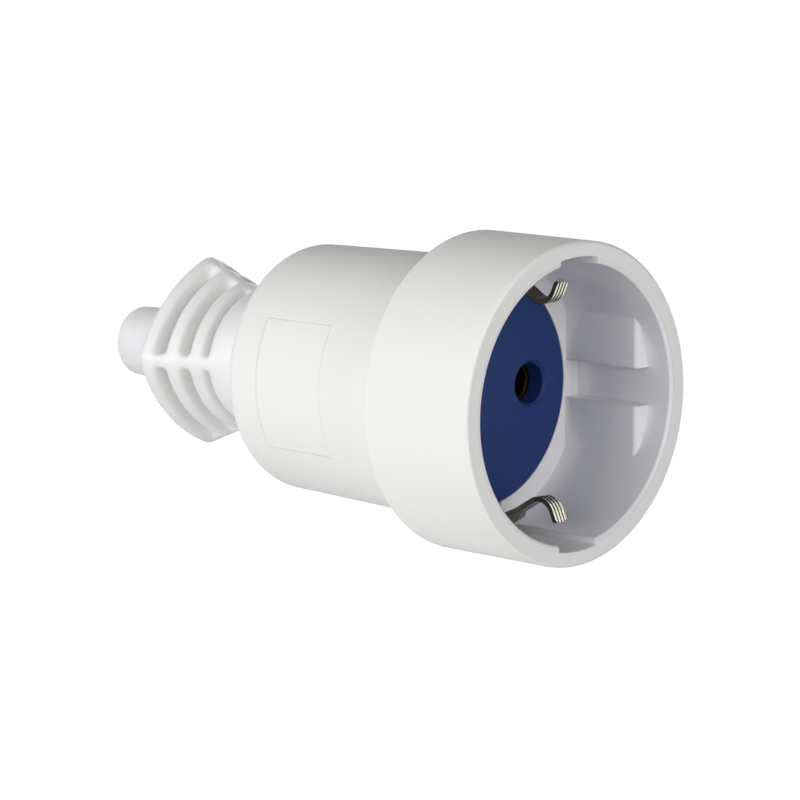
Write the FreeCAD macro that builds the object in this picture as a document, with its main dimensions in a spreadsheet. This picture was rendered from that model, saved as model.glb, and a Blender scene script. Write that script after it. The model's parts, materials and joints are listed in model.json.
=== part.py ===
import FreeCAD, Part
import math
import os
from types import SimpleNamespace

import Sketcher
from FreeCAD import Placement, Rotation, Vector

# Earthed round-pin socket for the end of a cord, rewireable, 16 A size.
# Frame: +X is the way the plug leaves, Y is the line of the pins, Z the line of the earth clips.
# The origin is the centre of the mouth. A depth is measured back from the mouth, along -X.

DIMENSIONS = {
    # Plug recess and the collar around it
    "recess_radius": 19.6,
    "recess_depth": 17.5,
    "mouth_chamfer": 0.3,
    "collar_wall": 3.05,
    "collar_draft": 0.08,
    "collar_floor": 1.9,
    "collar_front_chamfer": 0.35,
    "collar_rear_chamfer": 0.2,
    # Guide blocks beside the pins, and channels for the earth clips
    "guide_height": 2.7,
    "guide_slot_half_width": 2.7,
    "guide_setback": 4.05,
    "guide_round": 0.8,
    "guide_root": 1.0,
    "channel_half_width": 3.8,
    "channel_sink": 0.9,
    # Tapered body behind the collar
    "collar_step": 3.77,
    "body_draft": 0.9,
    "shoulder_round": 1.6,
    "rear_wall": 2.0,
    "bore_radius": 15.9,
    "label_setback": 12.8,
    "label_length": 13.0,
    "label_sweep_angle": 62.0,
    "label_sink": 0.2,
    "label_over": 1.0,
    # Bend relief, a flared rounded square with three slots
    "relief_play": 0.2,
    "flange_radius": 11.5,
    "flange_thickness": 2.0,
    "neck_radius": 9.2,
    "neck_length": 8.9,
    "flare_corner": 9.5,
    "flare_flat": 9.25,
    "flare_length": 13.6,
    "flare_power": 1.3,
    "rim_corner": 14.2,
    "rim_flat": 12.5,
    "rim_corner_round": 2.5,
    "slot_width": 1.5,
    "slot_pitch": 3.3,
    "slot_setback": 2.9,
    "spine_thickness": 2.05,
    "strap_thickness": 1.15,
    "sleeve_wall": 1.9,
    "funnel_flare": 2.9,
    "funnel_length": 10.4,
    "nozzle_length": 14.9,
    "nozzle_wall": 1.0,
    "nozzle_draft": 0.34,
    "nozzle_chamfer": 0.35,
    "cord_radius": 4.1,
    # Contact carrier, whose disc is the floor of the recess
    "disc_ledge": 0.5,
    "disc_play": 0.2,
    "disc_thickness": 3.0,
    "pin_pitch": 19.0,
    "pin_hole_radius": 2.95,
    "pin_hole_chamfer": 0.45,
    "carrier_over": 1.1,
    "tower_half_width": 13.6,
    "tower_top": 4.4,
    "tower_foot_half_width": 11.8,
    "tower_bottom": 9.8,
    "chamber_play": 0.15,
    "latch_root": 1.5,
    "latch_room": 0.5,
    "latch_thickness": 1.2,
    "latch_half_height": 3.0,
    "latch_catch": 0.8,
    "latch_setback": 4.0,
    "latch_hook_length": 2.4,
    "latch_play": 0.15,
    "latch_groove_sink": 0.9,
    "latch_groove_length": 3.2,
    "post_y": 7.0,
    "post_z": 9.9,
    "post_radius": 2.6,
    # Line and neutral contacts
    "pin_length": 19.0,
    "pin_room": 0.4,
    "sleeve_contact_radius": 3.1,
    "sleeve_contact_bore": 2.45,
    "sleeve_slit": 1.0,
    "sleeve_slit_length": 8.5,
    "terminal_length": 7.4,
    "terminal_half_width": 3.2,
    "terminal_y": 7.6,
    "terminal_z": 5.6,
    "wire_hole_radius": 1.5,
    "wire_hole_length": 5.6,
    "guard_thickness": 0.4,
    "guard_half_width": 1.05,
    "guard_drop": 1.05,
    "spring_setback": 3.1,
    "spring_width": 2.0,
    "spring_thickness": 0.4,
    "spring_sink": 0.2,
    "spring_play": 0.05,
    "spring_wrap_angle": 315.0,
    # Earth bracket, one bent strip with a spring finger at each end
    "strip_thickness": 0.7,
    "strip_half_width": 3.3,
    "strip_play": 0.1,
    "bar_setback": 7.0,
    "leg_inset": 1.25,
    "corner_bend": 1.2,
    "foot_bend": 1.0,
    "foot_slope_angle": 50.0,
    "heel_setback": 0.6,
    "strip_way_over": 0.3,
    "strip_way_slope": 0.84,
    "disc_notch_inset": 0.75,
    "disc_notch_length": 1.1,
    "clip_half_gap": 13.5,
    "clip_reach": 11.2,
    "clip_crest_bend": 2.6,
    "clip_slope_angle": 31.0,
    "clip_tip_angle": 66.0,
    "clip_tip_height": 16.9,
    "finger_half_width": 1.1,
    "finger_tip_round": 0.6,
    "taper_setback": 4.7,
    "finger_groove_width": 0.3,
    "finger_groove_pitch": 0.62,
    "finger_groove_sink": 0.2,
    "earth_plate_half_width": 3.1,
    "earth_plate_thickness": 1.0,
    # Terminal cover and cord clamp
    "cover_thickness": 2.0,
    "cover_play": 0.3,
    "wire_way_radius": 1.8,
    "wire_room": 3.2,
    "clamp_play": 0.2,
    "clamp_length": 4.2,
    "clamp_edge": 2.5,
    "saddle_wall": 2.5,
    "tongue_half_width": 4.8,
    "tongue_top": 2.5,
    "bridge_wall": 2.3,
    "bridge_ear": 2.2,
    "clamp_screw_play": 0.2,
    # Screws
    "plastic_screw_radius": 1.25,
    "plastic_screw_head": 2.1,
    "plastic_screw_head_height": 1.6,
    "terminal_screw_radius": 1.55,
    "terminal_screw_head": 2.1,
    "terminal_screw_head_height": 1.7,
    "earth_screw_radius": 1.75,
    "earth_screw_head": 2.7,
    "screw_recess_width": 0.8,
    "screw_recess_sink": 0.9,
    "screw_cross_share": 0.7,
    "screw_length": 7.5,
    "clamp_screw_length": 6.6,
    "earth_screw_length": 5.0,
    "screw_play": 0.1,
    "thread_play": 0.05,
}

RELIEF_SLOTS = 3
FLARE_SECTIONS = 4

doc = FreeCAD.newDocument("inline_socket_connector")
sheet = doc.addObject("Spreadsheet::Sheet", "dims")


class Size:
    """A dimension that keeps its value and the sheet formula that gives it."""

    def __init__(self, value, text):
        self.value = value
        self.text = text

    def _join(self, other, sign, work, swap=False):
        other = as_size(other)
        first, second = (other, self) if swap else (self, other)
        return Size(work(first.value, second.value), f"({first.text} {sign} {second.text})")

    def __add__(self, other):
        return self._join(other, "+", lambda a, b: a + b)

    def __sub__(self, other):
        return self._join(other, "-", lambda a, b: a - b)

    def __mul__(self, other):
        return self._join(other, "*", lambda a, b: a * b)

    def __truediv__(self, other):
        return self._join(other, "/", lambda a, b: a / b)

    def __rmul__(self, other):
        return self._join(other, "*", lambda a, b: a * b, swap=True)

    def __rsub__(self, other):
        return self._join(other, "-", lambda a, b: a - b, swap=True)

    def __neg__(self):
        return Size(-self.value, f"(0 - {self.text})")

    def power(self, exponent):
        exponent = as_size(exponent)
        return Size(self.value**exponent.value, f"pow({self.text}; {exponent.text})")


def as_size(number):
    return number if isinstance(number, Size) else Size(float(number), repr(float(number)))


def root(size):
    return Size(math.sqrt(size.value), f"sqrt({size.text})")


def chord_half(radius, offset):
    """Half the chord that a line at this offset cuts from a circle of this radius."""
    return root(radius * radius - offset * offset)


def load_sheet():
    sizes = {}
    for row, (alias, value) in enumerate(DIMENSIONS.items(), start=1):
        cell = f"A{row}"
        sheet.set(cell, str(value))
        sheet.setAlias(cell, alias)
        sizes[alias] = Size(value, f"dims.{alias}")
    doc.recompute()
    return SimpleNamespace(**sizes)


dim = load_sheet()


# Sizes that follow from the dimensions. The pins' length sets how deep the contacts reach,
# and what lies behind them sets the length of the body.


def follow(dim):
    at = SimpleNamespace()
    at.collar_radius = dim.recess_radius + dim.collar_wall
    at.collar_rear_radius = at.collar_radius - dim.collar_draft
    at.collar_depth = dim.recess_depth + dim.collar_floor
    at.body_front_radius = at.collar_rear_radius - dim.collar_step
    at.body_rear_radius = at.body_front_radius - dim.body_draft
    at.channel_radius = dim.recess_radius + dim.channel_sink
    at.guide_face = dim.recess_radius - dim.guide_height
    at.disc_radius = dim.bore_radius + dim.disc_ledge
    at.disc_rear = dim.recess_depth + dim.disc_thickness
    at.leg_height = dim.bore_radius - dim.leg_inset
    at.heel_depth = dim.recess_depth - dim.heel_setback
    at.crest_depth = dim.recess_depth - dim.clip_reach
    at.taper_depth = dim.recess_depth - dim.taper_setback
    at.sleeve_depth = dim.recess_depth + dim.pin_length + dim.pin_room
    at.terminal_front = at.sleeve_depth - dim.terminal_length
    at.carrier_depth = at.sleeve_depth + dim.carrier_over
    at.bar_depth = at.carrier_depth - dim.bar_setback
    at.latch_depth = at.carrier_depth - dim.latch_setback
    at.cover_rear = at.carrier_depth + dim.cover_thickness
    at.clamp_rear = at.cover_rear + dim.wire_room + dim.clamp_length
    at.clamp_middle = at.clamp_rear - dim.clamp_length / 2
    at.flange_front = at.clamp_rear + dim.clamp_play
    at.wall_front = at.flange_front + dim.flange_thickness
    at.body_depth = at.wall_front + dim.rear_wall
    at.neck_depth = at.body_depth + dim.neck_length
    at.rim_depth = at.neck_depth + dim.flare_length
    at.overall_length = at.rim_depth + dim.nozzle_length
    at.nozzle_end_radius = dim.cord_radius + dim.nozzle_wall
    at.nozzle_root_radius = at.nozzle_end_radius + dim.nozzle_draft
    at.bridge_radius = dim.cord_radius + dim.bridge_wall
    at.clamp_screw_y = at.bridge_radius + dim.plastic_screw_head + dim.clamp_screw_play
    at.clamp_half_width = at.clamp_screw_y + dim.clamp_edge
    at.saddle_height = dim.cord_radius + dim.saddle_wall
    return at


at = follow(dim)


# Document helpers


def bind(thing, path, size):
    thing.setExpression(path, as_size(size).text)


def new_body(label):
    body = doc.addObject("PartDesign::Body", label)
    body.Label = label
    return body


def place(body, x=None, y=None, z=None, rotation=None):
    places = {axis: as_size(size) for axis, size in (("x", x), ("y", y), ("z", z)) if size is not None}
    base = Vector(*(places[axis].value if axis in places else 0.0 for axis in "xyz"))
    body.Placement = Placement(base, rotation or Rotation())
    for axis, size in places.items():
        bind(body, f"Placement.Base.{axis}", size)


def origin_plane(body, role):
    return next(feature for feature in body.Origin.OriginFeatures if feature.Role == role)


def new_sketch(body, role, name, offset=None):
    """A sketch on an origin plane. On YZ the offset is X, on XY it is Z."""
    sketch = body.newObject("Sketcher::SketchObject", f"{body.Label}_{name}")
    sketch.AttachmentSupport = (origin_plane(body, role), "")
    sketch.MapMode = "FlatFace"
    if offset is not None:
        offset = as_size(offset)
        sketch.AttachmentOffset = Placement(Vector(0, 0, offset.value), Rotation())
        bind(sketch, "AttachmentOffset.Base.z", offset)
    return sketch


def hold(sketch, kind, *where, size):
    """Adds one dimension to a sketch and binds it to the sheet."""
    size = as_size(size)
    value = math.radians(size.value) if kind == "Angle" else size.value
    number = sketch.addConstraint(Sketcher.Constraint(kind, *where, value))
    bind(sketch, f"Constraints[{number}]", size)


def hold_point(sketch, element, end, x, y):
    """Fixes a point: a plain 0 puts it on the axis, any other size is a dimension."""
    for coordinate, kind, axis in ((x, "DistanceX", -2), (y, "DistanceY", -1)):
        if isinstance(coordinate, Size):
            hold(sketch, kind, -1, 1, element, end, size=coordinate)
        else:
            sketch.addConstraint(Sketcher.Constraint("PointOnObject", element, end, axis))


def as_vector(x, y):
    return Vector(as_size(x).value, as_size(y).value, 0)


class ArcAbout:
    """Makes the side between two corners of an outline an arc about this centre."""

    def __init__(self, x, y, radius):
        self.centre = as_vector(x, y)
        self.radius = radius


def draw_outline(sketch, *path):
    """A closed outline through corners (x, y), with straight sides or short arcs between them."""
    corners = [item for item in path if not isinstance(item, ArcAbout)]
    arcs = {}
    for index, item in enumerate(path):
        if isinstance(item, ArcAbout):
            arcs[sum(not isinstance(other, ArcAbout) for other in path[:index]) - 1] = item
    ends = []
    for index, corner in enumerate(corners):
        start = as_vector(*corner)
        finish = as_vector(*corners[(index + 1) % len(corners)])
        if index in arcs:
            ends.append(draw_arc(sketch, start, finish, arcs[index]))
        else:
            ends.append((sketch.addGeometry(Part.LineSegment(start, finish)), 1, 2))
    for index, corner in enumerate(corners):
        before, _, before_end = ends[index - 1]
        element, first, _ = ends[index]
        sketch.addConstraint(Sketcher.Constraint("Coincident", before, before_end, element, first))
        hold_point(sketch, element, first, *corner)


def draw_arc(sketch, start, finish, arc):
    """Adds the shorter arc from start to finish, and says which of its ends is which."""
    from_centre = start - arc.centre
    to_centre = finish - arc.centre
    turn = from_centre.x * to_centre.y - from_centre.y * to_centre.x
    first, second = (from_centre, to_centre) if turn > 0 else (to_centre, from_centre)
    circle = Part.Circle(arc.centre, Vector(0, 0, 1), arc.radius.value)
    angles = [math.atan2(point.y, point.x) for point in (first, second)]
    element = sketch.addGeometry(Part.ArcOfCircle(circle, *angles))
    hold(sketch, "Radius", element, size=arc.radius)
    return (element, 1, 2) if turn > 0 else (element, 2, 1)


def draw_box(sketch, left, right, bottom, top):
    draw_outline(sketch, (left, bottom), (right, bottom), (right, top), (left, top))


def draw_circle(sketch, x, y, radius):
    circle = Part.Circle(as_vector(x, y), Vector(0, 0, 1), as_size(radius).value)
    element = sketch.addGeometry(circle)
    hold_point(sketch, element, 3, x, y)
    hold(sketch, "Radius", element, size=radius)


def extrude(kind, body, sketch, length=None, both_ways=False, reverse=False):
    feature = body.newObject(f"PartDesign::{kind}", f"{sketch.Name}_{kind}")
    feature.Profile = sketch
    if both_ways:
        feature.SideType = "Symmetric"
    if length is None:
        feature.Type = "ThroughAll"
    else:
        bind(feature, "Length", length)
    feature.Reversed = reverse
    doc.recompute()
    return feature


def pad(body, sketch, length, both_ways=False):
    return extrude("Pad", body, sketch, length, both_ways)


def pocket(body, sketch, length=None, both_ways=False, forward=False):
    """Cuts against the sketch's normal, or along it when forward."""
    return extrude("Pocket", body, sketch, length, both_ways, forward)


def spin(kind, body, sketch, axis="H_Axis", angle=360, both_ways=False):
    feature = body.newObject(f"PartDesign::{kind}", f"{sketch.Name}_{kind}")
    feature.Profile = sketch
    feature.ReferenceAxis = (sketch, [axis])
    if isinstance(angle, Size):
        bind(feature, "Angle", angle)
    else:
        feature.Angle = angle
    feature.Midplane = both_ways
    doc.recompute()
    return feature


def dress(kind, body, feature, edges, size):
    """A fillet or chamfer on the edges of the last feature that a test picks out."""
    names = [f"Edge{n}" for n, edge in enumerate(feature.Shape.Edges, start=1) if edges(edge)]
    if not names:
        raise ValueError(f"no edges found on {feature.Name}")
    dressed = body.newObject(f"PartDesign::{kind}", f"{feature.Name}_{kind}")
    dressed.Base = (feature, names)
    bind(dressed, "Radius" if kind == "Fillet" else "Size", size)
    doc.recompute()
    return dressed


def near(a, b, slack=1e-3):
    return abs(a - b) < slack


def ring_at(x, radius, y=None):
    """Picks the circular edges of a radius about a line along X, in the plane at x."""

    def picks(edge):
        curve = edge.Curve
        if not isinstance(curve, Part.Circle) or not near(abs(curve.Axis.x), 1):
            return False
        centre = curve.Center
        beside = near(abs(centre.y), 0 if y is None else y.value) and near(centre.z, 0)
        return beside and near(centre.x, x.value) and near(curve.Radius, radius.value)

    return picks


# Housing


def housing_outline(sketch):
    draw_outline(
        sketch,
        (0, 0),
        (0, at.collar_radius),
        (-at.collar_depth, at.collar_rear_radius),
        (-at.collar_depth, at.body_front_radius),
        (-at.body_depth, at.body_rear_radius),
        (-at.body_depth, 0),
    )


def earth_channels(sketch):
    """Two channels in the wall of the recess, open at the front, for the earth clips."""
    half = dim.channel_half_width
    floor = at.disc_radius - half
    top = chord_half(at.channel_radius, half)
    for side in (1, -1):
        draw_outline(
            sketch,
            (-half, side * floor),
            (-half, side * top),
            ArcAbout(0, 0, at.channel_radius),
            (half, side * top),
            (half, side * floor),
        )


def strip_ways(sketch):
    """Side view of the slanted ways that lead the earth strip from the bore into the recess."""
    rise = at.channel_radius + dim.strip_way_over - at.leg_height
    for side in (1, -1):
        low = side * at.leg_height
        draw_outline(
            sketch,
            (-dim.recess_depth, low),
            (-dim.recess_depth, side * (at.leg_height + rise)),
            (-dim.recess_depth - rise * dim.strip_way_slope, low),
        )


def guide_blocks(sketch):
    """Four blocks with flat faces, in pairs with a slot between, rooted in the recess wall."""
    outer = dim.recess_radius + dim.guide_root
    corner = chord_half(dim.recess_radius, at.guide_face)
    for side in (1, -1):
        for end in (1, -1):
            draw_outline(
                sketch,
                (side * at.guide_face, end * dim.guide_slot_half_width),
                (side * chord_half(outer, dim.guide_slot_half_width), end * dim.guide_slot_half_width),
                ArcAbout(0, 0, outer),
                (side * chord_half(outer, corner), end * corner),
                (side * at.guide_face, end * corner),
            )


def guide_front_edge(edge):
    """The front edge of a guide block's flat face."""
    box = edge.BoundBox
    flat = near(abs(box.Center.y), at.guide_face.value) and near(box.YLength, 0)
    return flat and near(box.XMin, -dim.guide_setback.value) and near(box.XLength, 0)


def label_recess(sketch):
    """Section of the shallow blank label field, which follows the cone of the body."""
    slope = dim.body_draft / (at.body_depth - at.collar_depth)
    front_x = -at.collar_depth - dim.label_setback
    rear_x = front_x - dim.label_length
    front = at.body_front_radius - slope * dim.label_setback
    rear = front - slope * dim.label_length
    draw_outline(
        sketch,
        (front_x, dim.label_sink - front),
        (front_x, -front - dim.label_over),
        (rear_x, -rear - dim.label_over),
        (rear_x, dim.label_sink - rear),
    )


def make_housing():
    body = new_body("housing")
    outline = new_sketch(body, "XZ_Plane", "outline")
    housing_outline(outline)
    solid = spin("Revolution", body, outline)
    front_edge = ring_at(as_size(0), at.collar_radius)
    solid = dress("Chamfer", body, solid, front_edge, dim.collar_front_chamfer)
    rear_edge = ring_at(-at.collar_depth, at.collar_rear_radius)
    solid = dress("Chamfer", body, solid, rear_edge, dim.collar_rear_chamfer)
    shoulder = ring_at(-at.body_depth, at.body_rear_radius)
    solid = dress("Fillet", body, solid, shoulder, dim.shoulder_round)

    recess = new_sketch(body, "YZ_Plane", "recess")
    draw_circle(recess, 0, 0, dim.recess_radius)
    solid = pocket(body, recess, dim.recess_depth)
    solid = dress("Chamfer", body, solid, ring_at(as_size(0), dim.recess_radius), dim.mouth_chamfer)
    channels = new_sketch(body, "YZ_Plane", "earth_channels")
    earth_channels(channels)
    pocket(body, channels, dim.recess_depth)
    guides = new_sketch(body, "YZ_Plane", "guide_blocks", -dim.recess_depth)
    guide_blocks(guides)
    solid = pad(body, guides, dim.recess_depth - dim.guide_setback)
    dress("Fillet", body, solid, guide_front_edge, dim.guide_round)

    seat = new_sketch(body, "YZ_Plane", "disc_seat", -dim.recess_depth)
    draw_circle(seat, 0, 0, at.disc_radius + dim.disc_play)
    pocket(body, seat, dim.disc_thickness)
    bore = new_sketch(body, "YZ_Plane", "bore", -at.disc_rear)
    draw_circle(bore, 0, 0, dim.bore_radius)
    pocket(body, bore, at.wall_front - at.disc_rear)
    ways = new_sketch(body, "XZ_Plane", "strip_ways")
    strip_ways(ways)
    pocket(body, ways, 2 * (dim.strip_half_width + dim.strip_play), both_ways=True)
    groove = new_sketch(body, "XZ_Plane", "latch_groove")
    inside = dim.bore_radius - dim.latch_catch
    outside = dim.bore_radius + dim.latch_groove_sink
    rear = at.latch_depth + dim.latch_groove_length
    draw_box(groove, -rear, -at.latch_depth, inside, outside)
    spin("Groove", body, groove)
    hole = new_sketch(body, "YZ_Plane", "relief_hole", -at.wall_front)
    draw_circle(hole, 0, 0, dim.neck_radius + dim.relief_play)
    pocket(body, hole)
    label = new_sketch(body, "XY_Plane", "label_field")
    label_recess(label)
    spin("Groove", body, label, angle=dim.label_sweep_angle, both_ways=True)
    return body


# Bend relief


def flare_share(depth):
    """How far the flare has opened at a depth: 0 at the neck, 1 at the rim."""
    return ((depth - at.neck_depth) / dim.flare_length).power(dim.flare_power)


def flare_corner(depth):
    return dim.flare_corner + flare_share(depth) * (dim.rim_corner - dim.flare_corner)


def flare_flat(depth):
    return dim.flare_flat + flare_share(depth) * (dim.rim_flat - dim.flare_flat)


def rounded_square(sketch, corner, flat, corner_round):
    """A square on its corner, with round corners on the axes and bowed sides.

    corner and flat are its reach along the axes and along the diagonals between them.
    """
    reach = corner - corner_round
    rise = flat - corner_round
    shift = (reach * reach - rise * rise) / (2 * rise - root(as_size(2)) * reach)
    side_radius = flat + shift
    lean = shift / root(as_size(2))
    span = side_radius - corner_round
    along = reach + corner_round * (reach + lean) / span
    across = corner_round * lean / span
    path = []
    for cos, sin in ((1, 0), (0, 1), (-1, 0), (0, -1)):
        start = (cos * along + sin * across, sin * along - cos * across)
        finish = (cos * along - sin * across, sin * along + cos * across)
        side_centre = (-lean * (cos - sin), -lean * (sin + cos))
        path += [start, ArcAbout(cos * reach, sin * reach, corner_round)]
        path += [finish, ArcAbout(*side_centre, side_radius)]
    draw_outline(sketch, *path)


def relief_slots(sketch):
    """Three slots a side through the flare, between its spines and its straps."""
    for count in range(RELIEF_SLOTS):
        middle = at.rim_depth - dim.slot_setback - count * dim.slot_pitch
        front = middle - dim.slot_width / 2
        rear = middle + dim.slot_width / 2
        inner = dim.spine_thickness / 2
        outer = flare_corner(front) - dim.strap_thickness
        for side in (1, -1):
            draw_box(sketch, -rear, -front, side * inner, side * outer)


def relief_core(sketch):
    """Flange inside the housing, neck, sleeve through the slots and nozzle."""
    sleeve_radius = dim.cord_radius + dim.sleeve_wall
    root_depth = at.neck_depth + dim.slot_width / 2
    draw_outline(
        sketch,
        (-at.flange_front, 0),
        (-at.flange_front, dim.flange_radius),
        (-at.wall_front, dim.flange_radius),
        (-at.wall_front, dim.neck_radius),
        (-root_depth, dim.neck_radius),
        (-root_depth, sleeve_radius),
        (-at.rim_depth, sleeve_radius),
        (-at.rim_depth, at.nozzle_root_radius),
        (-at.overall_length, at.nozzle_end_radius),
        (-at.overall_length, 0),
    )


def cord_passage(sketch):
    draw_outline(
        sketch,
        (-at.flange_front, 0),
        (-at.flange_front, dim.cord_radius + dim.funnel_flare),
        (-at.flange_front - dim.funnel_length, dim.cord_radius),
        (-at.overall_length, dim.cord_radius),
        (-at.overall_length, 0),
    )


def make_bend_relief():
    body = new_body("bend_relief")
    sections = []
    for count in range(FLARE_SECTIONS):
        share = as_size(count) / (FLARE_SECTIONS - 1)
        depth = at.neck_depth + dim.flare_length * share
        section = new_sketch(body, "YZ_Plane", f"flare_section_{count + 1}", -depth)
        corner = flare_corner(depth)
        corner_round = dim.rim_corner_round * corner / dim.rim_corner
        rounded_square(section, corner, flare_flat(depth), corner_round)
        sections.append(section)
    flare = body.newObject("PartDesign::AdditiveLoft", "bend_relief_flare")
    flare.Profile = sections[0]
    flare.Sections = sections[1:]
    doc.recompute()
    slots = new_sketch(body, "XZ_Plane", "slots")
    relief_slots(slots)
    pocket(body, slots, both_ways=True)
    core = new_sketch(body, "XZ_Plane", "core")
    relief_core(core)
    solid = spin("Revolution", body, core)
    end = ring_at(-at.overall_length, at.nozzle_end_radius)
    dress("Chamfer", body, solid, end, dim.nozzle_chamfer)
    passage = new_sketch(body, "XZ_Plane", "cord_passage")
    cord_passage(passage)
    spin("Groove", body, passage)
    return body


# Contact carrier


def latch_arms(sketch):
    """Side view, in X and Y, of the two latches that catch in the groove of the housing."""
    root_x = dim.latch_root - at.disc_rear
    outer = dim.bore_radius - dim.latch_room
    inner = outer - dim.latch_thickness
    catch = -at.latch_depth - dim.latch_play
    tip = catch - dim.latch_hook_length
    for side in (1, -1):
        draw_outline(
            sketch,
            (root_x, side * inner),
            (root_x, side * outer),
            (catch, side * outer),
            (catch, side * (outer + dim.latch_catch)),
            (tip, side * outer),
            (tip, side * inner),
        )


def tower_outline(sketch):
    """Section of the tower: the pin chambers above, the terminals in its foot."""
    wide, narrow = dim.tower_half_width, dim.tower_foot_half_width
    draw_outline(
        sketch,
        (-wide, dim.tower_top),
        (-wide, -dim.tower_top),
        (-narrow, -dim.tower_top),
        (-narrow, -dim.tower_bottom),
        (narrow, -dim.tower_bottom),
        (narrow, -dim.tower_top),
        (wide, -dim.tower_top),
        (wide, dim.tower_top),
    )


def terminal_middle():
    """Where the terminal screws stand along X."""
    return dim.terminal_length / 2 - at.sleeve_depth


def make_carrier():
    body = new_body("contact_carrier")
    disc = new_sketch(body, "YZ_Plane", "disc", -at.disc_rear)
    draw_circle(disc, 0, 0, at.disc_radius)
    pad(body, disc, dim.disc_thickness)
    tower = new_sketch(body, "YZ_Plane", "tower", -at.carrier_depth)
    tower_outline(tower)
    behind = at.carrier_depth - at.disc_rear
    pad(body, tower, behind)
    posts = new_sketch(body, "YZ_Plane", "posts", -at.carrier_depth)
    for side in (1, -1):
        draw_circle(posts, side * dim.post_y, dim.post_z, dim.post_radius)
    pad(body, posts, behind)
    latches = new_sketch(body, "XY_Plane", "latches")
    latch_arms(latches)
    pad(body, latches, 2 * dim.latch_half_height, both_ways=True)

    pins = new_sketch(body, "YZ_Plane", "pin_holes", -dim.recess_depth)
    chambers = new_sketch(body, "YZ_Plane", "chambers", -at.carrier_depth)
    pockets = new_sketch(body, "YZ_Plane", "terminal_pockets", -at.carrier_depth)
    screw_holes = new_sketch(body, "XY_Plane", "screw_holes", -dim.tower_bottom)
    half = dim.terminal_half_width + dim.chamber_play
    head_way = dim.terminal_screw_head + dim.screw_play
    for side in (1, -1):
        y = side * dim.pin_pitch / 2
        draw_circle(pins, y, 0, dim.pin_hole_radius)
        draw_circle(chambers, y, 0, dim.sleeve_contact_radius + 2 * dim.chamber_play)
        y = side * dim.terminal_y
        draw_box(pockets, y - half, y + half, -dim.terminal_z - half, half - dim.terminal_z)
        draw_circle(screw_holes, terminal_middle(), y, head_way)
    solid = pocket(body, pins, dim.disc_thickness)
    rims = ring_at(-dim.recess_depth, dim.pin_hole_radius, dim.pin_pitch / 2)
    dress("Chamfer", body, solid, rims, dim.pin_hole_chamfer)
    pocket(body, chambers, behind, forward=True)
    pocket(body, pockets, at.carrier_depth - at.terminal_front, forward=True)
    pocket(body, screw_holes, dim.tower_bottom - dim.terminal_z, forward=True)

    bar_front = at.bar_depth - dim.strip_thickness / 2
    slot_half = dim.strip_half_width + dim.strip_play
    slot = new_sketch(body, "YZ_Plane", "bracket_slot", -at.carrier_depth)
    draw_box(slot, -slot_half, slot_half, -dim.tower_bottom, dim.tower_top)
    pocket(body, slot, at.carrier_depth - bar_front, forward=True)
    thread = new_sketch(body, "YZ_Plane", "earth_screw_hole", -bar_front)
    draw_circle(thread, 0, 0, dim.earth_screw_radius + dim.screw_play)
    pocket(body, thread, dim.earth_screw_length, forward=True)
    notches = new_sketch(body, "YZ_Plane", "strip_notches", -at.disc_rear)
    inner = dim.bore_radius - dim.disc_notch_inset
    for side in (1, -1):
        outer = at.disc_radius + dim.disc_play
        draw_box(notches, -slot_half, slot_half, side * inner, side * outer)
    pocket(body, notches, dim.disc_notch_length, forward=True)
    pilots = new_sketch(body, "YZ_Plane", "post_pilots", -at.carrier_depth)
    for side in (1, -1):
        draw_circle(pilots, side * dim.post_y, dim.post_z, dim.plastic_screw_radius)
    pocket(body, pilots, dim.screw_length, forward=True)
    return body


# Line and neutral contacts


def spring_middle():
    return -at.disc_rear - dim.spring_setback


def contact_sleeve(sketch):
    """Half section of the sleeve, with the seat of its spring turned in."""
    middle = spring_middle()
    front = middle + dim.spring_width / 2
    rear = middle - dim.spring_width / 2
    waist = dim.sleeve_contact_radius - dim.spring_sink
    nose = -at.disc_rear - dim.chamber_play
    draw_outline(
        sketch,
        (nose, dim.sleeve_contact_bore),
        (nose, dim.sleeve_contact_radius),
        (front, dim.sleeve_contact_radius),
        (front, waist),
        (rear, waist),
        (rear, dim.sleeve_contact_radius),
        (-at.sleeve_depth, dim.sleeve_contact_radius),
        (-at.sleeve_depth, dim.sleeve_contact_bore),
    )


def make_contact(label, side):
    """A sleeve for the pin, with its terminal block below it and nearer the middle."""
    body = new_body(label)
    sleeve = new_sketch(body, "XZ_Plane", "sleeve")
    contact_sleeve(sleeve)
    spin("Revolution", body, sleeve)
    block = new_sketch(body, "YZ_Plane", "terminal_block", -at.sleeve_depth)
    half = dim.terminal_half_width
    y = side * (dim.terminal_y - dim.pin_pitch / 2)
    draw_box(block, y - half, y + half, -dim.terminal_z - half, half - dim.terminal_z)
    pad(body, block, dim.terminal_length)
    bore = new_sketch(body, "YZ_Plane", "pin_way", -at.sleeve_depth)
    draw_circle(bore, 0, 0, dim.sleeve_contact_bore)
    pocket(body, bore, dim.terminal_length, forward=True)
    slit = new_sketch(body, "XY_Plane", "slit")
    slit_half = dim.sleeve_slit / 2
    draw_box(slit, -at.disc_rear - dim.sleeve_slit_length, -dim.recess_depth, -slit_half, slit_half)
    pocket(body, slit, both_ways=True)
    wire = new_sketch(body, "YZ_Plane", "wire_hole", -at.sleeve_depth)
    draw_circle(wire, y, -dim.terminal_z, dim.wire_hole_radius)
    pocket(body, wire, dim.wire_hole_length, forward=True)
    tapping = new_sketch(body, "XY_Plane", "screw_thread", -dim.terminal_z - half)
    draw_circle(tapping, terminal_middle(), y, dim.terminal_screw_radius)
    pocket(body, tapping, half, forward=True)
    place(body, y=side * dim.pin_pitch / 2)
    return body


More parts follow.
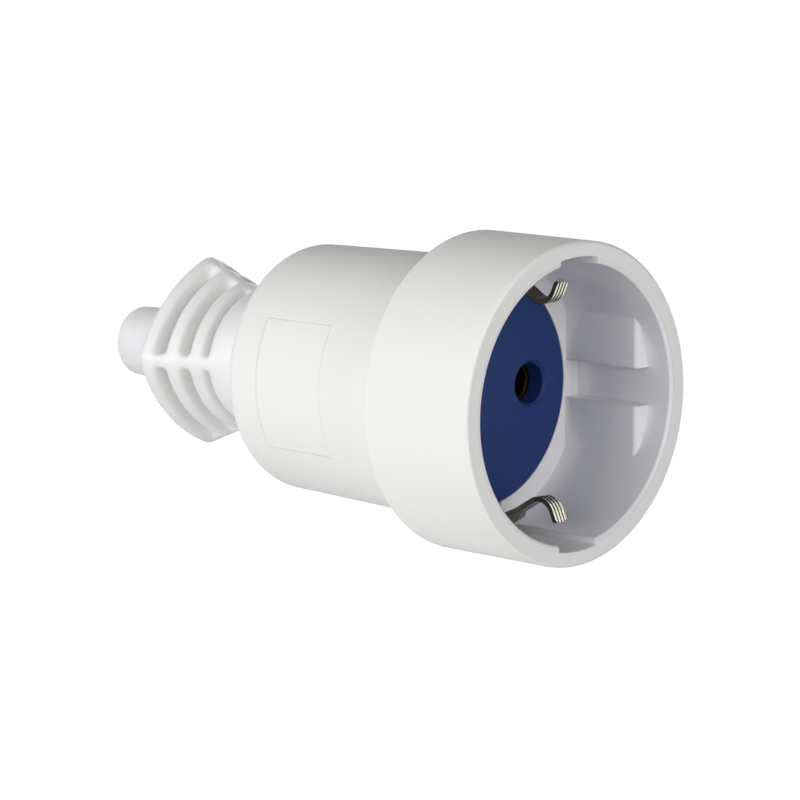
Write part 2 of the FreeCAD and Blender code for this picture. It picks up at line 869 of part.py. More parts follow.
def make_contact_spring(label, side):
    body = new_body(label)
    ring = new_sketch(body, "XZ_Plane", "section")
    half = dim.spring_width / 2 - dim.spring_play
    inner = dim.sleeve_contact_radius - dim.spring_sink
    outer = inner + dim.spring_thickness
    draw_box(ring, spring_middle() - half, spring_middle() + half, inner, outer)
    spin("Revolution", body, ring, angle=dim.spring_wrap_angle, both_ways=True)
    place(body, y=side * dim.pin_pitch / 2)
    return body


def make_wire_guard(label, side):
    """Thin leaf between the tip of a terminal screw and the wire."""
    body = new_body(label)
    leaf = new_sketch(body, "YZ_Plane", "leaf", -at.sleeve_depth)
    half = dim.guard_half_width
    draw_box(leaf, -half, half, -dim.guard_drop, dim.guard_thickness - dim.guard_drop)
    pad(body, leaf, dim.wire_hole_length - dim.screw_play)
    place(body, y=side * dim.terminal_y, z=-dim.terminal_z)
    return body


# Screws


def cross_recess(sketch, reach, half):
    draw_outline(
        sketch,
        (reach, -half),
        (reach, half),
        (half, half),
        (half, reach),
        (-half, reach),
        (-half, half),
        (-reach, half),
        (-reach, -half),
        (-half, -half),
        (-half, -reach),
        (half, -reach),
        (half, -half),
    )


def make_screw(label, shank, head, head_height, length, slotted=False):
    """A screw whose head sits on its own XY plane and whose shank goes down."""
    body = new_body(label)
    half_section = new_sketch(body, "XZ_Plane", "half_section")
    draw_outline(
        half_section,
        (0, -length),
        (shank, -length),
        (shank, 0),
        (head, 0),
        (head, head_height),
        (0, head_height),
    )
    spin("Revolution", body, half_section, axis="V_Axis")
    recess = new_sketch(body, "XY_Plane", "driver_recess", head_height)
    half = dim.screw_recess_width / 2
    if slotted:
        over = head + dim.screw_play
        draw_box(recess, -over, over, -half, half)
    else:
        cross_recess(recess, head * dim.screw_cross_share, half)
    pocket(body, recess, dim.screw_recess_sink)
    return body


HEAD_BACK = Rotation(Vector(0, 0, 1), Vector(-1, 0, 0))
HEAD_DOWN = Rotation(Vector(1, 0, 0), 180)


def make_terminal_screw(label, side):
    body = make_screw(
        label,
        dim.terminal_screw_radius - dim.thread_play,
        dim.terminal_screw_head,
        dim.terminal_screw_head_height,
        dim.terminal_half_width - dim.guard_drop,
        slotted=True,
    )
    seat = -dim.terminal_z - dim.terminal_half_width
    place(body, terminal_middle(), side * dim.terminal_y, seat, HEAD_DOWN)
    return body


def make_cover_screw(label, side):
    body = make_screw(
        label,
        dim.plastic_screw_radius - dim.thread_play,
        dim.plastic_screw_head,
        dim.plastic_screw_head_height,
        dim.cover_thickness + dim.screw_length - dim.screw_play,
    )
    place(body, -at.cover_rear, side * dim.post_y, dim.post_z, HEAD_BACK)
    return body


def make_clamp_screw(label, side):
    body = make_screw(
        label,
        dim.plastic_screw_radius - dim.thread_play,
        dim.plastic_screw_head,
        dim.plastic_screw_head_height,
        dim.clamp_screw_length,
    )
    place(body, -at.clamp_middle, side * at.clamp_screw_y, dim.bridge_ear)
    return body


# Earth bracket


def clip_crest():
    """Centre of the bend at the crest of the upper clip."""
    return -at.crest_depth, dim.clip_half_gap + dim.strip_thickness / 2 + dim.clip_crest_bend


def heading(angle, length=1.0):
    """A step in this direction, counted in degrees from +X towards +Z."""
    turn = math.radians(angle)
    return Vector(math.cos(turn), math.sin(turn), 0) * length


def half_strip_path(sketch):
    """Middle line of the strip, from the middle of its bar to the tip of one clip."""
    crest_x, crest_z = clip_crest()
    bar_x, leg = -at.bar_depth.value, at.leg_height.value
    corner, foot, bend = (r.value for r in (dim.corner_bend, dim.foot_bend, dim.clip_crest_bend))
    climb, slope, rise = (a.value for a in (dim.foot_slope_angle, dim.clip_slope_angle, dim.clip_tip_angle))
    crest = as_vector(crest_x, crest_z)
    touch = crest + heading(-slope - 90, bend)
    leave = crest + heading(rise - 90, bend)
    tip = leave + heading(rise, (dim.clip_tip_height.value - leave.y) / heading(rise).y)
    heel_x = -at.heel_depth.value
    back = (touch.x - heel_x - foot * heading(90 - slope).x) / heading(slope).x
    heel_out = touch - heading(-slope, back)
    heel = heel_out - heading(90 - slope, foot)
    heel_in = heel + heading(90 + climb, foot)
    start_y = leg + foot - foot * heading(climb).x
    climb_start = heel_in - heading(climb, (heel_in.y - start_y) / heading(climb).y)
    foot_centre = climb_start + heading(climb + 90, foot)

    def line(a, b):
        return sketch.addGeometry(Part.LineSegment(a, b))

    def arc(centre, radius, start, finish):
        circle = Part.Circle(centre, Vector(0, 0, 1), radius)
        return sketch.addGeometry(Part.ArcOfCircle(circle, math.radians(start), math.radians(finish)))

    bar = line(Vector(bar_x, 0, 0), Vector(bar_x, leg - corner, 0))
    turn_1 = arc(Vector(bar_x + corner, leg - corner, 0), corner, 90, 180)
    long_leg = line(Vector(bar_x + corner, leg, 0), Vector(foot_centre.x, leg, 0))
    turn_2 = arc(foot_centre, foot, -90, climb - 90)
    sole = line(climb_start, heel_in)
    turn_3 = arc(heel, foot, 90 - slope, 90 + climb)
    ramp = line(heel_out, touch)
    turn_4 = arc(crest, bend, 270 - slope, 270 + rise)
    lead_in = line(leave, tip)

    joints = (
        (bar, 2, turn_1, 2),
        (turn_1, 1, long_leg, 1),
        (long_leg, 2, turn_2, 1),
        (turn_2, 2, sole, 1),
        (sole, 2, turn_3, 2),
        (turn_3, 1, ramp, 1),
        (ramp, 2, turn_4, 1),
        (turn_4, 2, lead_in, 1),
    )
    for joint in joints:
        sketch.addConstraint(Sketcher.Constraint("Tangent", *joint))
    hold_point(sketch, bar, 1, -at.bar_depth, 0)
    sketch.addConstraint(Sketcher.Constraint("Vertical", bar))
    hold(sketch, "Radius", turn_1, size=dim.corner_bend)
    sketch.addConstraint(Sketcher.Constraint("Horizontal", long_leg))
    hold(sketch, "DistanceY", -1, 1, long_leg, 1, size=at.leg_height)
    hold(sketch, "Radius", turn_2, size=dim.foot_bend)
    hold(sketch, "Angle", sole, size=dim.foot_slope_angle)
    hold(sketch, "DistanceX", -1, 1, turn_3, 3, size=-at.heel_depth)
    hold(sketch, "Radius", turn_3, size=dim.foot_bend)
    hold(sketch, "Angle", ramp, size=-dim.clip_slope_angle)
    hold_point(sketch, turn_4, 3, crest_x, crest_z)
    hold(sketch, "Radius", turn_4, size=dim.clip_crest_bend)
    hold(sketch, "Angle", lead_in, size=dim.clip_tip_angle)
    hold(sketch, "DistanceY", -1, 1, lead_in, 2, size=dim.clip_tip_height)


def finger_path(sketch):
    """From the crest of a clip to its tip, along the middle line."""
    crest_x, crest_z = clip_crest()
    rise = dim.clip_tip_angle.value
    crest = as_vector(crest_x, crest_z)
    bend = dim.clip_crest_bend.value
    leave = crest + heading(rise - 90, bend)
    end_height = dim.clip_tip_height + dim.strip_thickness
    tip = leave + heading(rise, (end_height.value - leave.y) / heading(rise).y)
    circle = Part.Circle(crest, Vector(0, 0, 1), bend)
    arc = sketch.addGeometry(Part.ArcOfCircle(circle, math.radians(-90), math.radians(rise - 90)))
    line = sketch.addGeometry(Part.LineSegment(leave, tip))
    sketch.addConstraint(Sketcher.Constraint("Tangent", arc, 2, line, 1))
    hold_point(sketch, arc, 3, crest_x, crest_z)
    hold(sketch, "Radius", arc, size=dim.clip_crest_bend)
    hold(sketch, "DistanceX", -1, 1, arc, 1, size=crest_x)
    hold(sketch, "Angle", line, size=dim.clip_tip_angle)
    hold(sketch, "DistanceY", -1, 1, line, 2, size=end_height)


def pipe(kind, body, name, profile, path):
    feature = body.newObject(f"PartDesign::{kind}", f"{body.Label}_{name}")
    feature.Profile = profile
    feature.Spine = (path, [f"Edge{n + 1}" for n in range(len(path.Shape.Edges))])
    doc.recompute()
    return feature


def finger_taper(sketch):
    """Plan view of what is cut away beside the narrow finger, on both sides."""
    full = dim.strip_half_width + dim.strip_play
    step = dim.strip_half_width - dim.finger_half_width
    for side in (1, -1):
        draw_outline(
            sketch,
            (-at.taper_depth, side * dim.strip_half_width),
            (step - at.taper_depth, side * dim.finger_half_width),
            (0, side * dim.finger_half_width),
            (0, side * full),
            (-at.taper_depth, side * full),
        )


def finger_tip_corner(edge):
    """The short edges through the strip at the two corners of the finger's tip."""
    box = edge.BoundBox
    beside = near(abs(box.Center.y), dim.finger_half_width.value) and near(box.YLength, 0)
    short = near(edge.Length, dim.strip_thickness.value)
    return beside and short and box.XMin > -at.crest_depth.value


def make_earth_bracket():
    body = new_body("earth_bracket")
    path = new_sketch(body, "XZ_Plane", "path")
    half_strip_path(path)
    doc.recompute()
    section = new_sketch(body, "XY_Plane", "section")
    half_thickness = dim.strip_thickness / 2
    width = dim.strip_half_width
    draw_box(section, -at.bar_depth - half_thickness, half_thickness - at.bar_depth, -width, width)
    pipe("AdditivePipe", body, "strip", section, path)
    taper = new_sketch(body, "XY_Plane", "taper")
    finger_taper(taper)
    solid = pocket(body, taper, both_ways=True)
    dress("Fillet", body, solid, finger_tip_corner, dim.finger_tip_round)
    grooves = new_sketch(body, "YZ_Plane", "grooves", -at.crest_depth)
    surface = dim.clip_half_gap
    half = dim.finger_groove_width / 2
    for place_in_row in (-1, 0, 1):
        middle = place_in_row * dim.finger_groove_pitch
        low = surface - dim.strip_play
        draw_box(grooves, middle - half, middle + half, low, surface + dim.finger_groove_sink)
    groove_path = new_sketch(body, "XZ_Plane", "groove_path")
    finger_path(groove_path)
    doc.recompute()
    pipe("SubtractivePipe", body, "finger_grooves", grooves, groove_path)
    mirror = body.newObject("PartDesign::Mirrored", "earth_bracket_both_halves")
    mirror.TransformMode = "Whole shape"
    mirror.MirrorPlane = (origin_plane(body, "XY_Plane"), [""])
    body.Tip = mirror
    doc.recompute()
    thread = new_sketch(body, "YZ_Plane", "screw_thread", -at.bar_depth - half_thickness)
    draw_circle(thread, 0, 0, dim.earth_screw_radius)
    pocket(body, thread, dim.strip_thickness, forward=True)
    return body


def make_earth_plate():
    body = new_body("earth_clamp_plate")
    front = -at.bar_depth - dim.strip_thickness / 2
    sketch = new_sketch(body, "YZ_Plane", "plate", front - dim.earth_plate_thickness)
    half = dim.earth_plate_half_width
    draw_box(sketch, -half, half, -half, half)
    draw_circle(sketch, 0, 0, dim.earth_screw_radius + dim.screw_play)
    pad(body, sketch, dim.earth_plate_thickness)
    return body


def make_earth_screw():
    body = make_screw(
        "earth_terminal_screw",
        dim.earth_screw_radius - dim.thread_play,
        dim.earth_screw_head,
        dim.terminal_screw_head_height,
        dim.earth_screw_length,
    )
    seat = -at.bar_depth - dim.strip_thickness / 2 - dim.earth_plate_thickness
    place(body, x=seat, rotation=HEAD_BACK)
    return body


# Terminal cover and cord clamp


def make_terminal_cover():
    body = new_body("terminal_cover")
    plate = new_sketch(body, "YZ_Plane", "plate", -at.cover_rear)
    draw_circle(plate, 0, 0, dim.bore_radius - dim.cover_play)
    pad(body, plate, dim.cover_thickness)
    saddle = new_sketch(body, "YZ_Plane", "saddle", -at.clamp_rear)
    draw_box(saddle, -at.clamp_half_width, at.clamp_half_width, -at.saddle_height, 0)
    pad(body, saddle, dim.clamp_length)
    tongue = new_sketch(body, "YZ_Plane", "tongue", -at.clamp_rear)
    half = dim.tongue_half_width
    draw_box(tongue, -half, half, -at.saddle_height, -dim.tongue_top)
    pad(body, tongue, at.clamp_rear - at.cover_rear)
    trough = new_sketch(body, "YZ_Plane", "trough", -at.clamp_rear)
    draw_circle(trough, 0, 0, dim.cord_radius)
    pocket(body, trough, forward=True)
    wires = new_sketch(body, "YZ_Plane", "wire_ways", -at.cover_rear)
    for side in (1, -1):
        draw_circle(wires, side * dim.terminal_y, -dim.terminal_z, dim.wire_way_radius)
        screw_way = dim.plastic_screw_radius + dim.screw_play
        draw_circle(wires, side * dim.post_y, dim.post_z, screw_way)
    pocket(body, wires, dim.cover_thickness, forward=True)
    pilots = new_sketch(body, "XY_Plane", "clamp_pilots", 0)
    for side in (1, -1):
        draw_circle(pilots, -at.clamp_middle, side * at.clamp_screw_y, dim.plastic_screw_radius)
    pocket(body, pilots, dim.clamp_screw_length - dim.bridge_ear + dim.screw_play)
    return body


def make_clamp_bridge():
    body = new_body("cord_clamp_bridge")
    arch = new_sketch(body, "YZ_Plane", "arch", -at.clamp_rear)
    shoulder = chord_half(at.bridge_radius, dim.bridge_ear)
    draw_outline(
        arch,
        (dim.cord_radius, 0),
        (at.clamp_half_width, 0),
        (at.clamp_half_width, dim.bridge_ear),
        (shoulder, dim.bridge_ear),
        ArcAbout(0, 0, at.bridge_radius),
        (0, at.bridge_radius),
        ArcAbout(0, 0, at.bridge_radius),
        (-shoulder, dim.bridge_ear),
        (-at.clamp_half_width, dim.bridge_ear),
        (-at.clamp_half_width, 0),
        (-dim.cord_radius, 0),
        ArcAbout(0, 0, dim.cord_radius),
        (0, dim.cord_radius),
        ArcAbout(0, 0, dim.cord_radius),
    )
    pad(body, arch, dim.clamp_length)
    holes = new_sketch(body, "XY_Plane", "screw_holes", dim.bridge_ear)
    hole = dim.plastic_screw_radius + dim.screw_play
    for side in (1, -1):
        draw_circle(holes, -at.clamp_middle, side * at.clamp_screw_y, hole)
    pocket(body, holes, dim.bridge_ear)
    return body


# Build, test and write


def make_all():
    parts = [make_housing(), make_bend_relief(), make_carrier(), make_terminal_cover()]
    for pole, side in (("line", 1), ("neutral", -1)):
        parts.append(make_contact(f"{pole}_contact", side))
        parts.append(make_contact_spring(f"{pole}_contact_spring", side))
        parts.append(make_wire_guard(f"{pole}_wire_guard", side))
        parts.append(make_terminal_screw(f"{pole}_terminal_screw", side))
    parts += [make_earth_bracket(), make_earth_plate(), make_earth_screw()]
    parts.append(make_clamp_bridge())
    for hand, side in (("left", 1), ("right", -1)):
        parts.append(make_cover_screw(f"cover_screw_{hand}", side))
        parts.append(make_clamp_screw(f"cord_clamp_screw_{hand}", side))
    return parts


def check(parts):
    for thing in doc.Objects:
        if "Invalid" in thing.State or "Error" in thing.State:
            raise RuntimeError(f"{thing.Name} failed")
    cutting = ("PartDesign::Pocket", "PartDesign::Groove", "PartDesign::SubtractivePipe")
    for thing in doc.Objects:
        if thing.TypeId in cutting and thing.Shape.Volume >= thing.BaseFeature.Shape.Volume - 1e-6:
            raise RuntimeError(f"{thing.Name} cuts nothing")
    for body in parts:
        shape = body.Shape
        if shape.isNull() or not shape.isValid() or len(shape.Solids) != 1:
            raise RuntimeError(f"{body.Label} is not one sound solid")


def export(parts):
    os.makedirs("parts", exist_ok=True)
    for body in parts:
        body.Shape.exportStep(f"parts/{body.Label}.step")


parts = make_all()
doc.recompute()
check(parts)
export(parts)
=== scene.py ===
import json
import math

import bmesh
import bpy
from mathutils import Matrix, Vector


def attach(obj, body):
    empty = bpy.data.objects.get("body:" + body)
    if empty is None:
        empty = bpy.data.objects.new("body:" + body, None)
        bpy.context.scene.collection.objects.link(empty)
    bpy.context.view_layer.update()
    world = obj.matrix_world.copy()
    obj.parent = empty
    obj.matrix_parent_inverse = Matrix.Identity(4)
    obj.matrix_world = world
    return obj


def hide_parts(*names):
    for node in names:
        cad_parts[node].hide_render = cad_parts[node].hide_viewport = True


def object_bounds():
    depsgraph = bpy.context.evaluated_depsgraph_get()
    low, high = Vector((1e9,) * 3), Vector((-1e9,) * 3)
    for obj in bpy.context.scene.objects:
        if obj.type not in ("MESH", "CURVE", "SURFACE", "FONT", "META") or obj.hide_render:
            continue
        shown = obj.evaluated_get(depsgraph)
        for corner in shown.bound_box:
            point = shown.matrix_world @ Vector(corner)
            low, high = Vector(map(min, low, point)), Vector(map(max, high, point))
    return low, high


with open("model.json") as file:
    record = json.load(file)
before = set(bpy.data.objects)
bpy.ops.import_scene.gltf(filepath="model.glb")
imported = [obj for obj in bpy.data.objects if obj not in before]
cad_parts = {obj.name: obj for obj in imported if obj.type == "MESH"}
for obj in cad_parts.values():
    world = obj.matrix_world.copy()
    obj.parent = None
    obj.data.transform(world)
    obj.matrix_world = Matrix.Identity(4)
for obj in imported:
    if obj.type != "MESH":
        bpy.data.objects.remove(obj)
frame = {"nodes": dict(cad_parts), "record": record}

MM = 0.001
CAD_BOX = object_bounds()
NODES = frame["nodes"]


# Camera, solved from the photograph: it looks into the mouth from the front left

CAMERA_AZIMUTH = math.radians(44.052)
CAMERA_ELEVATION = math.radians(9.142)
CAMERA_DISTANCE = 550 * MM
PICTURE_SIDE = 800
FOCAL_PIXELS = 4003.185
MOUTH_PIXEL = (578.654, 404.948)
SENSOR_WIDTH = 36


def make_camera():
    """The mouth's centre is the origin, so the camera is placed by where that point shows."""
    cos_e, sin_e = math.cos(CAMERA_ELEVATION), math.sin(CAMERA_ELEVATION)
    cos_a, sin_a = math.cos(CAMERA_AZIMUTH), math.sin(CAMERA_AZIMUTH)
    back = Vector((sin_a * cos_e, -cos_a * cos_e, sin_e))
    right = Vector((cos_a, sin_a, 0))
    up = back.cross(right)
    across = (MOUTH_PIXEL[0] - PICTURE_SIDE / 2) / FOCAL_PIXELS
    down = (MOUTH_PIXEL[1] - PICTURE_SIDE / 2) / FOCAL_PIXELS
    place = (back - right * across + up * down) * CAMERA_DISTANCE
    data = bpy.data.cameras.new("photo_camera")
    data.sensor_width = SENSOR_WIDTH
    data.lens = FOCAL_PIXELS / PICTURE_SIDE * SENSOR_WIDTH
    data.clip_start = 10 * MM
    camera = bpy.data.objects.new("photo_camera", data)
    turn = Matrix((right, up, back)).transposed().to_4x4()
    camera.matrix_world = Matrix.Translation(place) @ turn
    bpy.context.scene.collection.objects.link(camera)
    bpy.context.scene.camera = camera


# Nodes and colours

SRGB_KNEE = 0.04045
SRGB_SLOPE = 12.92
SRGB_OFFSET = 0.055
SRGB_POWER = 2.4

# Sockets of a Mix node that blends two colours
SHARE, LOW, HIGH, BLEND = 0, 6, 7, 2


def linear(hex_colour):
    """An sRGB hex colour as linear RGBA."""
    shares = [int(hex_colour[n : n + 2], 16) / 255 for n in (0, 2, 4)]
    curve = [
        s / SRGB_SLOPE if s <= SRGB_KNEE else ((s + SRGB_OFFSET) / (1 + SRGB_OFFSET)) ** SRGB_POWER
        for s in shares
    ]
    return (*curve, 1.0)


def give(tree, node, inputs):
    """Gives inputs, by name or number, a value or a link. A node stands for its first output."""
    for socket, value in inputs.items():
        if isinstance(value, bpy.types.Node):
            value = value.outputs[0]
        if isinstance(value, bpy.types.NodeSocket):
            tree.links.new(value, node.inputs[socket])
        else:
            node.inputs[socket].default_value = value


def add(tree, kind, inputs=None, **settings):
    """Adds a node with its settings and inputs."""
    node = tree.nodes.new(kind)
    for name, value in settings.items():
        setattr(node, name, value)
    give(tree, node, inputs or {})
    return node


# Materials. Patterns and blends are placed by Object coordinates, which run in the CAD's frame

# The polished recess lies inside this radius, and in front of this depth
RECESS_RADIUS = (20.3 * MM, 20.6 * MM)
RECESS_FLOOR_X = (-19.0 * MM, -18.9 * MM)
# Painted highlight: the earth clips' fingers are made bright on their broad faces, from the crest
# of their bend on, while their grooves keep the strip's darker tone as painted shade. A ridge is
# where a point sees enough of the space round it within the reach of a groove
FINGER_CREST_X = (-6.2 * MM, -4.9 * MM)
BROAD_FACE_LIMIT = 0.5
GROOVE_REACH = 0.35 * MM
RIDGE_OPENNESS = (0.55, 0.95)


def new_material(name):
    """A material with an empty tree, its Principled shader and its object coordinates."""
    material = bpy.data.materials.new(name)
    material.use_nodes = True
    tree = material.node_tree
    tree.nodes.clear()
    shader = add(tree, "ShaderNodeBsdfPrincipled")
    add(tree, "ShaderNodeOutputMaterial", {"Surface": shader})
    place = add(tree, "ShaderNodeTexCoord").outputs["Object"]
    return material, tree, shader, place


def per_metre(size_mm):
    """Noise scale for features of about this size."""
    return 1 / (size_mm * MM)


def textured_abs():
    """White ABS, injection moulded. The spark-eroded mould leaves the outside an even matt white,
    and the polished core leaves the recess smooth, so that its walls mirror each other softly.
    A real mould grain is finer, and is drawn at 0.35 mm so that it shows."""
    material, tree, shader, place = new_material("white_abs_moulded")
    axes = add(tree, "ShaderNodeSeparateXYZ", {0: place})
    squares = [
        add(tree, "ShaderNodeMath", {0: across, 1: across}, operation="MULTIPLY")
        for across in (axes.outputs["Y"], axes.outputs["Z"])
    ]
    total = add(tree, "ShaderNodeMath", {0: squares[0], 1: squares[1]}, operation="ADD")
    radius = add(tree, "ShaderNodeMath", {0: total}, operation="SQRT")
    inner, outer = RECESS_RADIUS
    outside = add(
        tree, "ShaderNodeMapRange", {"Value": radius, "From Min": inner, "From Max": outer}
    )
    rear, front = RECESS_FLOOR_X
    behind = add(
        tree,
        "ShaderNodeMapRange",
        {
            "Value": axes.outputs["X"],
            "From Min": rear,
            "From Max": front,
            "To Min": 1.0,
            "To Max": 0.0,
        },
    )
    textured = add(tree, "ShaderNodeMath", {0: outside, 1: behind}, operation="MAXIMUM")
    # Painted shade: the recess is given a darker, bluer white than the outside of the moulding
    tone = add(
        tree,
        "ShaderNodeMix",
        {SHARE: textured, LOW: linear("EAE9EB"), HIGH: linear("F0F0EE")},
        data_type="RGBA",
    )
    roughness = add(
        tree, "ShaderNodeMapRange", {"Value": textured, "To Min": 0.2, "To Max": 0.72}
    )
    sheen = add(tree, "ShaderNodeMapRange", {"Value": textured, "To Min": 0.5, "To Max": 0.2})
    grain = add(
        tree,
        "ShaderNodeTexNoise",
        {"Vector": place, "Scale": per_metre(0.35), "Detail": 3.0, "Roughness": 0.6},
    )
    height = add(tree, "ShaderNodeMath", {0: grain, 1: textured}, operation="MULTIPLY")
    soft_edge = add(tree, "ShaderNodeBevel", {"Radius": 0.35 * MM}, samples=8)
    bump = add(
        tree,
        "ShaderNodeBump",
        {"Strength": 0.35, "Distance": 0.03 * MM, "Height": height, "Normal": soft_edge},
    )
    give(tree, shader, {
        "Base Color": tone.outputs[BLEND],
        "Roughness": roughness,
        "IOR": 1.5,
        "Specular IOR Level": sheen,
        "Normal": bump,
    })
    return material


def soft_pvc():
    """Flexible white PVC, injection moulded. Light passes a little way through it, so the slots
    stay bright and its edges look soft. It is satin, and a warmer white than the housing.
    The slight unevenness of its skin is drawn at 0.5 mm so that it shows."""
    material, tree, shader, place = new_material("white_pvc_flexible")
    cloud = add(
        tree, "ShaderNodeTexNoise", {"Vector": place, "Scale": per_metre(6.0), "Detail": 2.0}
    )
    tone = add(
        tree,
        "ShaderNodeMix",
        {SHARE: cloud, LOW: linear("F8F7F4"), HIGH: linear("FBFAF7")},
        data_type="RGBA",
    )
    skin = add(
        tree, "ShaderNodeTexNoise", {"Vector": place, "Scale": per_metre(0.5), "Detail": 2.0}
    )
    bump = add(
        tree, "ShaderNodeBump", {"Strength": 0.2, "Distance": 0.02 * MM, "Height": skin}
    )
    give(tree, shader, {
        "Base Color": tone.outputs[BLEND],
        "Roughness": 0.42,
        "IOR": 1.53,
        "Subsurface Weight": 1.0,
        "Subsurface Radius": (1.0, 0.95, 0.8),
        "Subsurface Scale": 3.0 * MM,
        "Normal": bump,
    })
    return material


def blue_polyamide():
    """Dark blue polyamide, injection moulded: satin and almost even in tone, so the disc reads
    as one flat deep blue. Its IOR is set below polyamide's 1.53, because the photographed disc
    shows hardly any sheen. The fine mould grain is drawn at 0.3 mm so that it shows."""
    material, tree, shader, place = new_material("blue_polyamide_moulded")
    cloud = add(
        tree, "ShaderNodeTexNoise", {"Vector": place, "Scale": per_metre(4.0), "Detail": 3.0}
    )
    tone = add(
        tree,
        "ShaderNodeMix",
        {SHARE: cloud, LOW: linear("1C336B"), HIGH: linear("203973")},
        data_type="RGBA",
    )
    grain = add(
        tree, "ShaderNodeTexNoise", {"Vector": place, "Scale": per_metre(0.3), "Detail": 3.0}
    )
    soft_edge = add(tree, "ShaderNodeBevel", {"Radius": 0.15 * MM}, samples=6)
    bump = add(
        tree,
        "ShaderNodeBump",
        {"Strength": 0.25, "Distance": 0.02 * MM, "Height": grain, "Normal": soft_edge},
    )
    give(tree, shader, {
        "Base Color": tone.outputs[BLEND],
        "Roughness": 0.5,
        "IOR": 1.33,
        "Normal": bump,
    })
    return material


def painted_ridge_highlight(tree, place, tone, bright_hex):
    """The fingers show bright ridges beside dark grooves. The white studio has nothing dark to
    mirror there, so the tone gives that: a painted highlight on the ridges, and grooves left as
    dark as the rest of the strip, as painted shade."""
    depth = add(tree, "ShaderNodeSeparateXYZ", {0: place})
    behind_crest, past_crest = FINGER_CREST_X
    towards_tip = add(
        tree,
        "ShaderNodeMapRange",
        {"Value": depth, "From Min": behind_crest, "From Max": past_crest},
    )
    facing = add(tree, "ShaderNodeNewGeometry").outputs["True Normal"]
    sideways = add(tree, "ShaderNodeSeparateXYZ", {0: facing}).outputs["Y"]
    side = add(tree, "ShaderNodeMath", {0: sideways}, operation="ABSOLUTE")
    face = add(tree, "ShaderNodeMath", {0: side, 1: BROAD_FACE_LIMIT}, operation="LESS_THAN")
    finger = add(tree, "ShaderNodeMath", {0: towards_tip, 1: face}, operation="MULTIPLY")
    openness = add(
        tree, "ShaderNodeAmbientOcclusion", {"Distance": GROOVE_REACH}, samples=8
    ).outputs["AO"]
    shut, open_enough = RIDGE_OPENNESS
    ridge = add(
        tree, "ShaderNodeMapRange", {"Value": openness, "From Min": shut, "From Max": open_enough}
    )
    # Where the painted highlight goes: open ridges of the broad faces, past the crest
    highlight_share = add(tree, "ShaderNodeMath", {0: finger, 1: ridge}, operation="MULTIPLY")
    both = add(
        tree,
        "ShaderNodeMix",
        {SHARE: highlight_share, LOW: tone, HIGH: linear(bright_hex)},
        data_type="RGBA",
    )
    return both.outputs[BLEND]


def drawn_metal(name, dark_hex, light_hex, roughness, line_mm, stretch, ridge_highlight_hex=None):
    """A rolled or turned metal. Fine lines run along the axes whose stretch is low, and break up
    what it mirrors. They are drawn coarser than the real ones so that they show."""
    material, tree, shader, place = new_material(name)
    stretched = add(tree, "ShaderNodeMapping", {"Vector": place, "Scale": stretch})
    lines = add(
        tree,
        "ShaderNodeTexNoise",
        {"Vector": stretched, "Scale": per_metre(line_mm), "Detail": 4.0},
    )
    tone = add(
        tree,
        "ShaderNodeMix",
        {SHARE: lines, LOW: linear(dark_hex), HIGH: linear(light_hex)},
        data_type="RGBA",
    ).outputs[BLEND]
    # A painted highlight on the fingers' ridges, for a strip given a highlight colour
    if ridge_highlight_hex:
        tone = painted_ridge_highlight(tree, place, tone, ridge_highlight_hex)
    gloss = add(
        tree,
        "ShaderNodeMapRange",
        {"Value": lines, "To Min": roughness * 0.7, "To Max": roughness * 1.3},
    )
    soft_edge = add(tree, "ShaderNodeBevel", {"Radius": 0.12 * MM}, samples=6)
    bump = add(
        tree,
        "ShaderNodeBump",
        {"Strength": 0.3, "Distance": 0.01 * MM, "Height": lines, "Normal": soft_edge},
    )
    give(tree, shader, {
        "Base Color": tone,
        "Metallic": 1.0,
        "Roughness": gloss,
        "Normal": bump,
    })
    return material


def dress_nodes():
    """Gives each CAD node the material of the real piece, and returns the materials by slot."""
    by_slot = {
        "housing_white": textured_abs(),
        "relief_white": soft_pvc(),
        "insert_blue": blue_polyamide(),
        # Nickel plate on rolled strip. Clean nickel would mirror the white studio evenly, so its
        # tones are set darker than the metal's own, to look as it does in the photograph
        # These darkened tones are a painted dark reflection on the strip
        "plated_strip": drawn_metal(
            "nickel_plated_strip",
            "37332B",
            "8F8A7B",
            roughness=0.14,
            line_mm=0.25,
            stretch=(0.1, 1.0, 0.1),
            # The painted highlight on the fingers' ridges
            ridge_highlight_hex="E9E5D8",
        ),
        # Turned brass, set darker than clean brass, because the photographed pin holes are dark
        # The darkened tone is painted shade for the depth of the pin holes
        "contact_brass": drawn_metal(
            "turned_brass",
            "40331B",
            "574726",
            roughness=0.4,
            line_mm=0.2,
            stretch=(0.1, 1.0, 1.0),
        ),
        # Zinc plate: an even, slightly cloudy grey without lines
        "plated_screw": drawn_metal(
            "zinc_plated_steel",
            "8E8F90",
            "B8B9BA",
            roughness=0.32,
            line_mm=0.2,
            stretch=(1.0, 1.0, 1.0),
        ),
        # Rolled spring steel: a bright grey with lines along the strip
        "spring_steel": drawn_metal(
            "spring_steel",
            "84847F",
            "ACACA8",
            roughness=0.28,
            line_mm=0.2,
            stretch=(1.0, 0.1, 1.0),
        ),
    }
    for part in frame["record"]["subparts"]:
        node = NODES[part["node"]]
        node.data.materials.clear()
        node.data.materials.append(by_slot[part["material_slot"]])
    return by_slot


# Bend relief. Depths are in millimetres back from the mouth, as the CAD has them

RELIEF_NECK = 60.5
RELIEF_RIM = 74.1
FLARE_RINGS = 24
FLARE_POWER = 1.3
# At the neck and at the rim: reach of the corners and of the flats, and the corners' round
CORNER_REACH = (9.5, 14.2)
FLAT_REACH = (9.25, 12.5)
CORNER_ROUND = (2.2, 3.4)
RING_POINTS = 128
# A spine runs along each corner of the flare, and parts the slots
SPINES = 4
